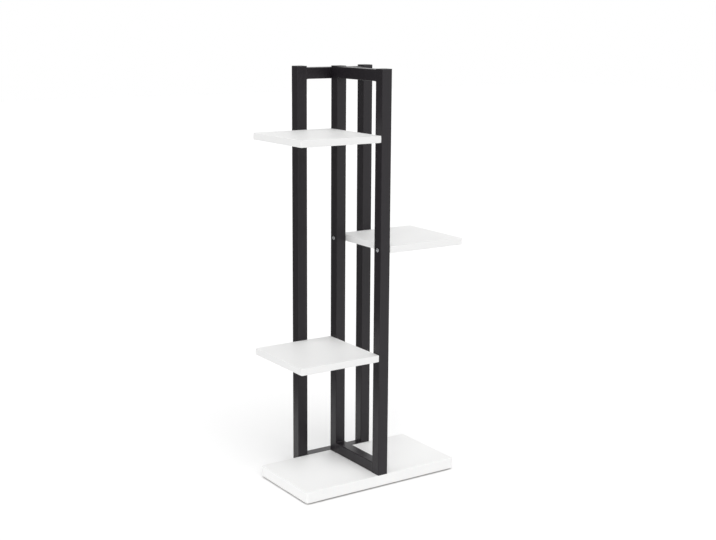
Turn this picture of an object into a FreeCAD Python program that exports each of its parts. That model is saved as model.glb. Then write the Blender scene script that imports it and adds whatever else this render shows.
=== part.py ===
import FreeCAD, Part
import os
import Sketcher

# Step shelf: a free-standing rack of four white boards on two charcoal tube frames.
# The depth frame stands upright in the middle of the base board, from front to back.
# The back frame stands behind the base board, from left to right, and closes the rear.
# Two boards hang on the left of the depth frame and one on its right, like steps.
# Frame of the model: millimetres, +Z up, -Y is the front, +X is the right-hand side.
# Its origin lies on the floor under the middle of the part's bounding box.

doc = FreeCAD.newDocument("step_shelf")
sheet = doc.addObject("Spreadsheet::Sheet", "sizes")

driving_sizes = [
    ("tube_side", 25, "outer side of every square tube"),
    ("tube_wall", 1.2, "steel thickness of the tube"),
    ("tube_corner_radius", 1.5, "outer corner of the tube"),
    ("depth_frame_height", 900, "length of the posts of the depth frame"),
    ("back_frame_width", 200, "outer width of the back frame"),
    ("back_rail_set_down", 2, "ends of the back posts above the back top rail"),
    ("board_depth", 200, "front to rear of the base and of each shelf"),
    ("base_width", 400, "left to right of the base"),
    ("base_thickness", 25, "thickness of the base"),
    ("shelf_width", 200, "left to right of each shelf"),
    ("shelf_thickness", 15, "thickness of each shelf"),
    ("board_edge_bevel", 0.8, "softened top and bottom edges of every board"),
    ("lower_shelf_rise", 280, "from the top of the base to the top of the lower left shelf"),
    ("upper_shelf_drop", 138, "from the ends of the posts to the top of the upper left shelf"),
    ("glide_height", 3, "glide pad under the base, and plate of a foot plug"),
    ("glide_side", 20, "side of a square glide pad"),
    ("glide_inset", 14, "from a pad to the nearest two edges of the base"),
    ("plug_head", 2, "plate of an end plug on top of a post"),
    ("plug_stem", 14, "length of a plug's stem"),
    ("plug_wall", 1.6, "wall of a plug's hollow stem"),
    ("plug_rib_depth", 1.5, "how far the ribs stand out of the stem"),
    ("plug_rib_thickness", 1, "thickness of one rib"),
    ("plug_rib_count", 2, "ribs on one stem"),
    ("plug_rib_start", 1, "from the plate to the first rib"),
    ("plug_rib_margin", 2, "from the last rib to the end of the stem"),
    ("plug_fit", 0.1, "gap between the ribs and the inside of the tube"),
    ("screw_radius", 2.5, "shank of a screw into a board's edge"),
    ("screw_head_radius", 4.5, "low domed head of that screw"),
    ("screw_head_height", 2, "low domed head of that screw"),
    ("screw_reach", 30, "how far that screw reaches into a board"),
    ("pilot_fit", 0.05, "gap round that screw in its pilot hole"),
    ("pilot_spare", 2, "depth of the pilot hole beyond the end of the screw"),
    ("bolt_radius", 3, "shank of a bolt under the base"),
    ("bolt_head_radius", 5.5, "head of a bolt"),
    ("bolt_head_height", 3.3, "head of a bolt"),
    ("bolt_end", 3.8, "how far a bolt stands out of its nut"),
    ("bolt_spacing", 100, "between the two bolts under the base"),
    ("hole_clearance", 0.25, "gap round a shank in a wall, or round a bolt in the base"),
    ("head_pocket_clearance", 1.5, "gap round a bolt's head in its pocket under the base"),
    ("head_pocket_spare", 2.7, "depth of that pocket below the head"),
    ("nut_across_flats", 10, "weld nut inside a tube"),
    ("nut_height", 5, "weld nut inside a tube"),
    ("nut_fit", 0.05, "gap round a bolt in its nut"),
    ("rear_screw_spacing", 90, "between the two screws into the rear edge of the base"),
    ("cut_overrun", 5, "how far a cut runs past the wall it goes through"),
    ("search_slack", 0.01, "how near an edge lies to the level it is looked for at"),
]

# Places and sizes that follow from the ones above.
derived_sizes = [
    ("base_top", "glide_height + base_thickness"),
    ("post_top", "base_top + depth_frame_height"),
    ("front_y", "-(board_depth + tube_side + screw_head_height) / 2"),
    ("join_y", "front_y + board_depth"),
    ("rear_y", "join_y + tube_side"),
    ("front_post_y", "front_y + tube_side / 2"),
    ("centre_post_y", "join_y - tube_side / 2"),
    ("back_frame_y", "join_y + tube_side / 2"),
    ("back_post_x", "(back_frame_width - tube_side) / 2"),
    ("back_post_length", "post_top - glide_height"),
    ("back_top_rail_z", "post_top - back_rail_set_down - tube_side / 2"),
    ("back_bottom_rail_z", "base_top - tube_side / 2"),
    ("depth_top_rail_z", "post_top - tube_side / 2"),
    ("depth_bottom_rail_z", "base_top + tube_side / 2"),
    ("lower_shelf_top", "base_top + lower_shelf_rise"),
    ("upper_shelf_top", "post_top - upper_shelf_drop"),
    ("right_shelf_top", "(lower_shelf_top + upper_shelf_top) / 2"),
    ("tube_inside", "tube_side - 2 * tube_wall"),
    ("plug_rib_side", "tube_inside - 2 * plug_fit"),
    ("plug_stem_side", "plug_rib_side - 2 * plug_rib_depth"),
    ("screw_length", "tube_side + screw_reach"),
    ("screw_hole_radius", "screw_radius + hole_clearance"),
    ("pilot_radius", "screw_radius + pilot_fit"),
    ("pilot_depth", "screw_reach + pilot_spare"),
    ("bolt_hole_radius", "bolt_radius + hole_clearance"),
    ("head_pocket_radius", "bolt_head_radius + head_pocket_clearance"),
    ("head_pocket_depth", "bolt_head_height + head_pocket_spare"),
    ("bolt_length", "base_thickness - head_pocket_depth + tube_wall + nut_height + bolt_end"),
    ("nut_circumradius", "nut_across_flats / sqrt(3)"),
    ("plug_rib_spread", "plug_stem - plug_rib_start - plug_rib_thickness - plug_rib_margin"),
]


def fill_sheet():
    """Writes one row per size: its name, its value with the name as alias, and what it is."""
    for row, (name, value, meaning) in enumerate(driving_sizes, start=1):
        sheet.set(f"A{row}", name)
        sheet.set(f"B{row}", str(value))
        sheet.setAlias(f"B{row}", name)
        sheet.set(f"C{row}", meaning)
    doc.recompute()
    for row, (name, formula) in enumerate(derived_sizes, start=len(driving_sizes) + 1):
        sheet.set(f"A{row}", name)
        sheet.set(f"B{row}", f"={formula}")
        sheet.setAlias(f"B{row}", name)
        doc.recompute()


fill_sheet()
size_names = {row[0] for row in driving_sizes + derived_sizes}


def size(name):
    """The value of one named size, in millimetres."""
    return float(sheet.get(name))


def bound(text):
    """An expression in plain size names, such as tube_side / 2, as one that reads the sheet."""
    words = text.replace("(", " ( ").replace(")", " ) ").split()
    return " ".join(f"sizes.{word}" if word in size_names else word for word in words)


def worth(text):
    """The present value of an expression in plain size names."""
    return float(sheet.evalExpression(bound(text)))


def sketch_on(body, role, name, lift=None):
    """A sketch on one of the body's own origin planes, raised along its normal by lift."""
    sketch = body.newObject("Sketcher::SketchObject", name)
    plane = next(item for item in body.Origin.OriginFeatures if item.Role == role)
    sketch.AttachmentSupport = (plane, [""])
    sketch.MapMode = "FlatFace"
    if lift:
        sketch.setExpression("AttachmentOffset.Base.z", bound(lift))
    return sketch


def pin_point(sketch, geometry, vertex, across, up, tag):
    """Ties one point of a sketch to two expressions, counted from the sketch's origin."""
    for kind, text, axis in (("DistanceX", across, "across"), ("DistanceY", up, "up")):
        constraint = Sketcher.Constraint(kind, -1, 1, geometry, vertex, worth(text))
        index = sketch.addConstraint(constraint)
        sketch.renameConstraint(index, f"{tag}_{axis}")
        sketch.setExpression(f"Constraints.{tag}_{axis}", bound(text))


def polygon(sketch, corners, tag):
    """A closed outline of straight lines through corners that follow expressions."""
    points = [FreeCAD.Vector(worth(across), worth(up), 0) for across, up in corners]
    first = sketch.GeometryCount
    count = len(points)
    for index in range(count):
        sketch.addGeometry(Part.LineSegment(points[index], points[(index + 1) % count]), False)
    for index in range(count):
        follower = first + (index + 1) % count
        sketch.addConstraint(Sketcher.Constraint("Coincident", first + index, 2, follower, 1))
    for index, (across, up) in enumerate(corners):
        pin_point(sketch, first + index, 1, across, up, f"{tag}{index}")


def rectangle(sketch, left, right, low, high, tag):
    """A rectangle between four expressions."""
    polygon(sketch, [(left, low), (right, low), (right, high), (left, high)], tag)


def centred_square(sketch, side, tag):
    """A square about the sketch's origin."""
    half = f"( {side} ) / 2"
    rectangle(sketch, f"-1 * {half}", half, f"-1 * {half}", half, tag)


def circle(sketch, across, up, radius, tag):
    """A circle whose centre and radius follow expressions."""
    centre = FreeCAD.Vector(worth(across), worth(up), 0)
    normal = FreeCAD.Vector(0, 0, 1)
    geometry = sketch.addGeometry(Part.Circle(centre, normal, worth(radius)), False)
    pin_point(sketch, geometry, 3, across, up, tag)
    index = sketch.addConstraint(Sketcher.Constraint("Radius", geometry, worth(radius)))
    sketch.renameConstraint(index, f"{tag}_radius")
    sketch.setExpression(f"Constraints.{tag}_radius", bound(radius))


def new_body(label):
    """An empty body whose label names the piece."""
    body = doc.addObject("PartDesign::Body", label)
    body.Label = label
    return body


def pad(body, sketch, length, name, downwards=False):
    """Adds material along the sketch's normal, or against it."""
    feature = body.newObject("PartDesign::Pad", name)
    feature.Profile = sketch
    feature.Reversed = downwards
    feature.setExpression("Length", bound(length))
    doc.recompute()
    return feature


def pocket(body, sketch, depth, name, along_normal=False, both_ways=False):
    """Cuts to a depth against the sketch's normal, along it, or half of it each way."""
    before = body.Shape.Volume
    feature = body.newObject("PartDesign::Pocket", name)
    feature.Profile = sketch
    feature.Reversed = along_normal
    feature.Midplane = both_ways
    feature.setExpression("Length", bound(depth))
    doc.recompute()
    if not body.Shape.Volume < before:
        raise RuntimeError(f"{body.Label}: {name} cuts nothing")
    return feature


def fillet(body, base, edges, radius, name):
    """Rounds the named edges of a feature."""
    feature = body.newObject("PartDesign::Fillet", name)
    feature.Base = (base, edges)
    feature.setExpression("Radius", bound(radius))
    doc.recompute()
    return feature


def edges_where(feature, test):
    """Names of a feature's edges that pass a test."""
    edges = enumerate(feature.Shape.Edges, start=1)
    return [f"Edge{number}" for number, edge in edges if test(edge)]


def is_upright(edge):
    """True for an edge along Z."""
    box = edge.BoundBox
    return max(box.XLength, box.YLength) < size("search_slack")


def lies_at(edge, height):
    """True for an edge that lies level at a height."""
    box = edge.BoundBox
    return max(abs(box.ZMin - height), abs(box.ZMax - height)) < size("search_slack")


def place(item, across, deep, up, axis=(0, 0, 1), degrees=0):
    """Sets where an object stands, with its turn about one axis."""
    item.Placement = FreeCAD.Placement(FreeCAD.Vector(), FreeCAD.Rotation(FreeCAD.Vector(*axis), degrees))
    for letter, text in (("x", across), ("y", deep), ("z", up)):
        item.setExpression(f"Placement.Base.{letter}", bound(text))


def group(label, form, places):
    """Copies of one form as the separate solids of one node."""
    links = []
    for index, spot in enumerate(places, start=1):
        link = doc.addObject("App::Link", f"{label}_{index}")
        link.LinkedObject = form
        place(link, *spot)
        links.append(link)
    compound = doc.addObject("Part::Compound", label)
    compound.Label = label
    compound.Links = links
    doc.recompute()
    return compound


def square_tube(label, length):
    """A square tube that starts at its local origin and runs up its local Z axis."""
    body = new_body(label)
    section = sketch_on(body, "XY_Plane", f"{label}_section")
    centred_square(section, "tube_side", "outer")
    centred_square(section, "tube_inside", "inner")
    tube = pad(body, section, length, f"{label}_run")
    mid_wall = worth("( tube_inside + tube_wall ) / 2")
    corners = edges_where(tube, lambda edge: is_upright(edge) and edge.BoundBox.XMax**2 > mid_wall**2)
    fillet(body, tube, corners, "tube_corner_radius", f"{label}_corners")
    return body


def drill(body, role, spots, name, radius, depth, both_ways=False, along_normal=False):
    """Drills round holes at spots on one origin plane of a body."""
    sketch = sketch_on(body, role, f"{name}_sketch")
    for index, (across, up) in enumerate(spots):
        circle(sketch, across, up, radius, f"hole{index}")
    pocket(body, sketch, depth, name, along_normal=along_normal, both_ways=both_ways)


def drill_through_tube(body, role, spots, name):
    """Drills holes for screws through both walls of a tube."""
    drill(body, role, spots, name, "screw_hole_radius", "tube_side + 2 * cut_overrun", both_ways=True)


shelf_tops = ("lower_shelf_top", "right_shelf_top", "upper_shelf_top")
both_sides = ("-1 *", "1 *")


def shelf_screw_heights(tops, foot):
    """Heights of the screws of some shelves above the foot of a post."""
    return [f"{top} - shelf_thickness / 2 - {foot}" for top in tops]


def depth_posts():
    """Front post and centre rear post of the depth frame, drilled crosswise for all shelves."""
    posts = []
    for label, deep in (("front_post", "front_post_y"), ("centre_rear_post", "centre_post_y")):
        post = square_tube(label, "depth_frame_height")
        spots = [("0", height) for height in shelf_screw_heights(shelf_tops, "base_top")]
        drill_through_tube(post, "YZ_Plane", spots, f"{label}_shelf_holes")
        place(post, "0", deep, "base_top")
        posts.append(post)
    return posts


def depth_rails():
    """Top and bottom rail of the depth frame, from the rear face of one post to the other."""
    rails = []
    for label, up in (("depth_top_rail", "depth_top_rail_z"), ("depth_bottom_rail", "depth_bottom_rail_z")):
        rail = square_tube(label, "board_depth - 2 * tube_side")
        if label == "depth_bottom_rail":
            middle = "board_depth / 2 - tube_side"
            spots = [("0", f"{middle} + {sign} bolt_spacing / 2") for sign in both_sides]
            drill(rail, "XZ_Plane", spots, "bolt_holes_below", "bolt_hole_radius", "tube_side")
        # The tube's own Z axis turns to run to the rear, and its own Y axis to point down.
        place(rail, "0", "front_y + tube_side", up, axis=(1, 0, 0), degrees=-90)
        rails.append(rail)
    return rails


def back_posts():
    """Left and right post of the back frame, drilled from behind for the shelves they hold."""
    posts = []
    for label, sign, tops in (
        ("left_rear_post", "-1 *", ("lower_shelf_top", "upper_shelf_top")),
        ("right_rear_post", "1 *", ("right_shelf_top",)),
    ):
        post = square_tube(label, "back_post_length")
        spots = [("0", height) for height in shelf_screw_heights(tops, "glide_height")]
        drill_through_tube(post, "XZ_Plane", spots, f"{label}_shelf_holes")
        place(post, f"{sign} back_post_x", "back_frame_y", "glide_height")
        posts.append(post)
    return posts


def back_rails():
    """Top and bottom rail of the back frame, between its posts."""
    rails = []
    middle = "back_frame_width / 2 - tube_side"
    for label, up in (("back_top_rail", "back_top_rail_z"), ("back_bottom_rail", "back_bottom_rail_z")):
        rail = square_tube(label, "back_frame_width - 2 * tube_side")
        if label == "back_bottom_rail":
            spots = [("0", f"{middle} + {sign} rear_screw_spacing / 2") for sign in both_sides]
            drill_through_tube(rail, "XZ_Plane", spots, "base_screw_holes")
        # The tube's own Z axis turns to run to the right; its Y axis still points to the rear.
        place(rail, "-1 * back_frame_width / 2 + tube_side", "back_frame_y", up, axis=(0, 1, 0), degrees=90)
        rails.append(rail)
    return rails


def bevelled_board(body, left, right, thickness):
    """A board from its rear edge forward, with the rims of both its faces softened."""
    outline = sketch_on(body, "XY_Plane", "outline")
    rectangle(outline, left, right, "0", "board_depth", "edge")
    blank = pad(body, outline, thickness, "blank")
    top = worth(thickness)
    rims = body.newObject("PartDesign::Chamfer", "rims")
    rims.Base = (blank, edges_where(blank, lambda edge: lies_at(edge, 0) or lies_at(edge, top)))
    rims.setExpression("Size", bound("board_edge_bevel"))
    doc.recompute()


def pilot_holes(body, role, spots, name, along_normal=False):
    """Blind holes for screws in one edge of a board."""
    drill(body, role, spots, name, "pilot_radius", "pilot_depth", along_normal=along_normal)


def shelf_board(label, top, on_the_left):
    """A shelf: its own X runs out from the depth frame and its own Y forward from the rear edge.

    All three are one and the same board. The two on the left are turned about Z, and the one
    on the right is turned over, which swaps its sides.
    """
    body = new_body(label)
    bevelled_board(body, "0", "shelf_width", "shelf_thickness")
    mid = "shelf_thickness / 2"
    side = [("tube_side / 2", mid), ("board_depth - tube_side / 2", mid)]
    pilot_holes(body, "YZ_Plane", side, "side_pilots", along_normal=True)
    pilot_holes(body, "XZ_Plane", [("back_post_x - tube_side / 2", mid)], "rear_pilot")
    if on_the_left:
        place(body, "-1 * tube_side / 2", "join_y", f"{top} - shelf_thickness", degrees=180)
    else:
        place(body, "tube_side / 2", "join_y", top, axis=(1, 0, 0), degrees=180)
    return body


def bolt_spots():
    """Places of the bolts through the base, forward from its rear edge."""
    return [f"board_depth / 2 + {sign} bolt_spacing / 2" for sign in both_sides]


def base_board():
    """The base: its own X is centred on its width and its own Y runs forward from the rear edge."""
    body = new_body("base_board")
    bevelled_board(body, "-1 * base_width / 2", "base_width / 2", "base_thickness")
    mid = "back_bottom_rail_z - glide_height"
    rear = [(f"{sign} rear_screw_spacing / 2", mid) for sign in both_sides]
    pilot_holes(body, "XZ_Plane", rear, "rear_pilots")
    bolts = [("0", forward) for forward in bolt_spots()]
    for name, radius, depth in (
        ("bolt_holes", "bolt_hole_radius", "base_thickness + cut_overrun"),
        ("head_pockets", "head_pocket_radius", "head_pocket_depth"),
    ):
        drill(body, "XY_Plane", bolts, name, radius, depth, along_normal=True)
    place(body, "0", "join_y", "glide_height", degrees=180)
    return body


def end_plug(label, head):
    """A ribbed plastic plug: its plate lies above the local origin and its hollow stem below."""
    body = new_body(label)
    plate = sketch_on(body, "XY_Plane", "plate_sketch")
    centred_square(plate, "tube_side", "plate")
    top = pad(body, plate, head, "plate")
    fillet(body, top, edges_where(top, is_upright), "tube_corner_radius", "plate_corners")
    stem = sketch_on(body, "XY_Plane", "stem_sketch")
    centred_square(stem, "plug_stem_side", "stem")
    centred_square(stem, "plug_stem_side - 2 * plug_wall", "hollow")
    pad(body, stem, "plug_stem", "stem", downwards=True)
    rib = sketch_on(body, "XY_Plane", "rib_sketch", lift="-1 * plug_rib_start")
    centred_square(rib, "plug_rib_side", "rib")
    centred_square(rib, "plug_stem_side - plug_wall", "rib_core")
    first_rib = pad(body, rib, "plug_rib_thickness", "rib", downwards=True)
    pattern = body.newObject("PartDesign::LinearPattern", "ribs")
    pattern.Originals = [first_rib]
    pattern.Direction = (rib, ["N_Axis"])
    pattern.Reversed = True
    pattern.setExpression("Occurrences", bound("plug_rib_count"))
    pattern.setExpression("Length", bound("plug_rib_spread"))
    body.Tip = pattern
    doc.recompute()
    return body


def post_end_plugs():
    """The plugs in the upper ends of the four posts."""
    form = end_plug("end_plug_form", "plug_head")
    spots = [
        ("0", "front_post_y", "post_top"),
        ("0", "centre_post_y", "post_top"),
        ("-1 * back_post_x", "back_frame_y", "post_top"),
        ("back_post_x", "back_frame_y", "post_top"),
    ]
    return group("post_end_plugs", form, spots)


def post_foot_plugs():
    """The plugs that the two back posts stand on: the same plug with a thicker plate, head down."""
    form = end_plug("foot_plug_form", "glide_height")
    seat = ("back_frame_y", "glide_height", (1, 0, 0), 180)
    return group("post_foot_plugs", form, [(f"{sign} back_post_x", *seat) for sign in both_sides])


def base_glides():
    """Square pads stuck under the four corners of the base."""
    form = doc.addObject("Part::Box", "glide_form")
    for edge, text in (("Length", "glide_side"), ("Width", "glide_side"), ("Height", "glide_height")):
        form.setExpression(edge, bound(text))
    doc.recompute()
    sides = ("-1 * base_width / 2 + glide_inset", "base_width / 2 - glide_inset - glide_side")
    depths = ("front_y + glide_inset", "join_y - glide_inset - glide_side")
    return group("base_glides", form, [(side, deep, "0") for side in sides for deep in depths])


def headed_shank(kind):
    """A screw or a bolt that points down, with the top of its head at the local origin."""
    body = new_body(f"{kind}_form")
    profile = sketch_on(body, "XZ_Plane", "profile")
    under = f"-1 * {kind}_head_height"
    end = f"{under} - {kind}_length"
    corners = [
        ("0", end),
        (f"{kind}_radius", end),
        (f"{kind}_radius", under),
        (f"{kind}_head_radius", under),
        (f"{kind}_head_radius", "0"),
        ("0", "0"),
    ]
    polygon(profile, corners, "corner")
    feature = body.newObject("PartDesign::Revolution", "turned")
    feature.Profile = profile
    feature.ReferenceAxis = (profile, ["V_Axis"])
    feature.Angle = 360
    doc.recompute()
    return body


def board_screws():
    """Screws through both walls of a tube into a board's edge: three to a shelf, two to the base."""
    form = headed_shank("screw")
    side_x = "( tube_side / 2 + screw_head_height )"
    rear_seat = "rear_y + screw_head_height"
    spots = []
    for top, inward in (("lower_shelf_top", -1), ("upper_shelf_top", -1), ("right_shelf_top", 1)):
        height = f"{top} - shelf_thickness / 2"
        for deep in ("front_post_y", "centre_post_y"):
            spots.append((f"{-inward} * {side_x}", deep, height, (0, 1, 0), -90 * inward))
        spots.append((f"{inward} * back_post_x", rear_seat, height, (1, 0, 0), -90))
    for sign in both_sides:
        across = f"{sign} rear_screw_spacing / 2"
        spots.append((across, rear_seat, "back_bottom_rail_z", (1, 0, 0), -90))
    return group("board_screws", form, spots)


def base_bolts():
    """Bolts up through the base into the bottom rail of the depth frame."""
    form = headed_shank("bolt")
    seat = ("glide_height + head_pocket_spare", (1, 0, 0), 180)
    spots = [("0", f"join_y - ( {forward} )", *seat) for forward in bolt_spots()]
    return group("base_bolts", form, spots)


def weld_nuts():
    """Hexagon nuts welded inside the bottom rail of the depth frame, for the base bolts."""
    prism = doc.addObject("Part::Prism", "nut_prism")
    prism.Polygon = 6
    prism.setExpression("Circumradius", bound("nut_circumradius"))
    prism.setExpression("Height", bound("nut_height"))
    bore = doc.addObject("Part::Cylinder", "nut_bore")
    bore.setExpression("Radius", bound("bolt_radius + nut_fit"))
    bore.setExpression("Height", bound("nut_height + 2 * cut_overrun"))
    bore.setExpression("Placement.Base.z", bound("-1 * cut_overrun"))
    form = doc.addObject("Part::Cut", "weld_nut_form")
    form.Base = prism
    form.Tool = bore
    doc.recompute()
    floor = "base_top + tube_wall"
    spots = [("0", f"join_y - ( {forward} )", floor) for forward in bolt_spots()]
    return group("weld_nuts", form, spots)


nodes = [
    base_board(),
    shelf_board("lower_left_shelf", "lower_shelf_top", on_the_left=True),
    shelf_board("right_shelf", "right_shelf_top", on_the_left=False),
    shelf_board("upper_left_shelf", "upper_shelf_top", on_the_left=True),
    *depth_posts(),
    *depth_rails(),
    *back_posts(),
    *back_rails(),
    post_end_plugs(),
    post_foot_plugs(),
    base_glides(),
    board_screws(),
    base_bolts(),
    weld_nuts(),
]

doc.recompute()

for item in doc.Objects:
    if "Invalid" in item.State or "Error" in item.State:
        raise RuntimeError(f"{item.Label} is {item.State}")
for node in nodes:
    if node.Shape.isNull() or not node.Shape.isValid():
        raise RuntimeError(f"{node.Label} has no valid shape")

os.makedirs("parts", exist_ok=True)
for node in nodes:
    node.Shape.exportStep(os.path.join("parts", f"{node.Label}.step"))
    box = node.Shape.BoundBox
    low = f"{box.XMin:.2f} {box.YMin:.2f} {box.ZMin:.2f}"
    high = f"{box.XMax:.2f} {box.YMax:.2f} {box.ZMax:.2f}"
    print(f"{node.Label}: {len(node.Shape.Solids)} solids, {node.Shape.Volume:.0f} mm3, {low} to {high}")
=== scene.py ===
"""Step shelf: the finished surfaces of its boards, tube frames, plugs, pads and fasteners.

All lengths are in metres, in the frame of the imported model: +Z up, -Y the front.
"""
import math

import bmesh
import bpy
import numpy as np
from bpy.props import FloatProperty, FloatVectorProperty, IntProperty, PointerProperty
from mathutils import Matrix, Vector


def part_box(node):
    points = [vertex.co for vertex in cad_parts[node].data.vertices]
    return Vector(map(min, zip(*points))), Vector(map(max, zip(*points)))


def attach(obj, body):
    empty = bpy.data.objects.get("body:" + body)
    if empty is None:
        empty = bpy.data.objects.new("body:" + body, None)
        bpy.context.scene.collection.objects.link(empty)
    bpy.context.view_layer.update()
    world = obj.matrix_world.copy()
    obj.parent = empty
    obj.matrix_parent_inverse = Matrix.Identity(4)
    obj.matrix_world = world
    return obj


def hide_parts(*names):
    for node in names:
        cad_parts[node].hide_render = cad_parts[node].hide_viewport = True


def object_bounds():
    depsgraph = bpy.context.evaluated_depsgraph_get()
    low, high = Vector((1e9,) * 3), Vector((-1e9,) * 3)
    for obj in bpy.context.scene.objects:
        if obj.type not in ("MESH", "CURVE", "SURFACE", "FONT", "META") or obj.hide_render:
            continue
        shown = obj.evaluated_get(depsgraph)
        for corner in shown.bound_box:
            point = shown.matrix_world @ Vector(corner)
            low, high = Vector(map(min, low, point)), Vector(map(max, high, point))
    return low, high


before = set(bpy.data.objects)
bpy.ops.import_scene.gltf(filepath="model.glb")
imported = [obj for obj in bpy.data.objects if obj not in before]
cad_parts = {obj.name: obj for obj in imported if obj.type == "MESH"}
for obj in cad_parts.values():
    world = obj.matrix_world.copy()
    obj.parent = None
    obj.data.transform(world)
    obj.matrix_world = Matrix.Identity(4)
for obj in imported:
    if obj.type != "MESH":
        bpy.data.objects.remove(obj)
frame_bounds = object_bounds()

bl_info = {
    "name": "Step shelf",
    "version": (1, 0, 0),
    "blender": (4, 5, 0),
    "location": "3D View > Sidebar > Step Shelf",
    "description": "Boards, coated frames, plugs, pads, fasteners and stage of a step shelf",
    "category": "Object",
}

boards = ("base_board", "lower_left_shelf", "right_shelf", "upper_left_shelf")
left_shelves = ("lower_left_shelf", "upper_left_shelf")
depth_posts = ("front_post", "centre_rear_post")
depth_rails = ("depth_top_rail", "depth_bottom_rail")
back_posts = ("left_rear_post", "right_rear_post")
back_rails = ("back_top_rail", "back_bottom_rail")
tubes = depth_posts + depth_rails + back_posts + back_rails


def length(name, description, default):
    """A length that a user can change, in metres."""
    return FloatProperty(
        name=name, description=description, default=default, min=0.0, precision=5, unit="LENGTH"
    )


def angle(name, description, degrees):
    """An angle that a user can change."""
    return FloatProperty(
        name=name, description=description, default=math.radians(degrees), subtype="ANGLE"
    )


def share(name, description, default):
    """A plain number from none to all."""
    return FloatProperty(name=name, description=description, default=default, min=0.0, max=1.0)


def colour(name, description, default):
    """A colour in linear light."""
    return FloatVectorProperty(
        name=name, description=description, default=default, min=0.0, max=1.0, subtype="COLOR"
    )


class StepShelfForms(bpy.types.PropertyGroup):
    """Sizes of the small shapes."""

    base_corner: length("Base corner", "Radius of the upright corners of the base", 0.0055)
    board_corner: length("Board corner", "Radius of the upright corners of a shelf", 0.003)
    board_edge: length("Board edge", "Radius of the long edges of a board", 0.0012)
    pilot_radius: length("Pilot hole", "Radius of a screw's hole in a board", 0.00255)
    pilot_depth: length("Pilot depth", "Depth of a screw's hole in a board", 0.032)
    bolt_hole_radius: length("Bolt hole", "Radius of a bolt's hole through the base", 0.00325)
    bolt_pocket_radius: length("Bolt pocket", "Radius of the pocket for a bolt's head", 0.007)
    bolt_pocket_depth: length("Pocket depth", "Depth of the pocket for a bolt's head", 0.006)
    bolt_spacing: length("Bolt spacing", "Between the two bolts under the base", 0.1)
    rear_screw_spacing: length("Rear screw spacing", "Between the screws into the base", 0.09)
    tube_corner: length("Tube corner", "Radius of a tube's outer corners", 0.0015)
    tube_wall: length("Tube wall", "Thickness of the steel", 0.0012)
    weld_leg: length("Weld leg", "Size of a weld in an inner corner", 0.0022)
    weld_flush: length("Flush weld", "How far a ground weld stands proud", 0.00018)
    weld_band: length("Weld band", "Half the width of a ground weld", 0.0021)
    plate_edge: length("Plate edge", "Rounding of a plug's plate", 0.0007)
    plate_crown: length("Plate crown", "Rise of a plug's plate to its middle", 0.0004)
    stem_wall: length("Stem wall", "Wall of a plug's hollow stem", 0.0016)
    stem_length: length("Stem length", "Length of a plug's stem", 0.014)
    rib_depth: length("Rib depth", "How far a rib stands out of the stem", 0.0015)
    rib_thickness: length("Rib thickness", "Thickness of a rib", 0.001)
    rib_gap: length("Rib gap", "Between a rib and the inside of its tube", 0.0001)
    pad_side: length("Pad", "Side of a square pad", 0.02)
    pad_corner: length("Pad corner", "Radius of the upright corners of a pad", 0.002)
    pad_edge: length("Pad edge", "Rounding of the lower edges of a pad", 0.0006)
    screw_radius: length("Screw", "Radius over a screw's thread", 0.0025)
    screw_core: length("Screw core", "Radius under a screw's thread", 0.0017)
    screw_pitch: length("Screw pitch", "Between two turns of a screw's thread", 0.0022)
    screw_reach: length("Screw reach", "How far a screw reaches into a board", 0.03)
    screw_point: length("Screw point", "Length of a screw's point", 0.006)
    screw_head: length("Screw head", "Radius of a screw's head", 0.0045)
    screw_head_height: length("Screw head height", "Height of a screw's head", 0.002)
    recess_depth: length("Recess depth", "Depth of the cross in a head", 0.0016)
    bolt_radius: length("Bolt", "Radius over a bolt's thread", 0.003)
    bolt_core: length("Bolt core", "Radius under a bolt's thread", 0.0025)
    bolt_pitch: length("Bolt pitch", "Between two turns of a bolt's thread", 0.001)
    bolt_head: length("Bolt head", "Radius of a bolt's head", 0.0055)
    bolt_head_height: length("Bolt head height", "Height of a bolt's head", 0.0033)
    nut_flats: length("Nut", "Across the flats of a nut", 0.01)
    nut_height: length("Nut height", "Height of a nut", 0.005)
    nut_fit: length("Nut fit", "Gap round a bolt in its nut", 0.00005)


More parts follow.
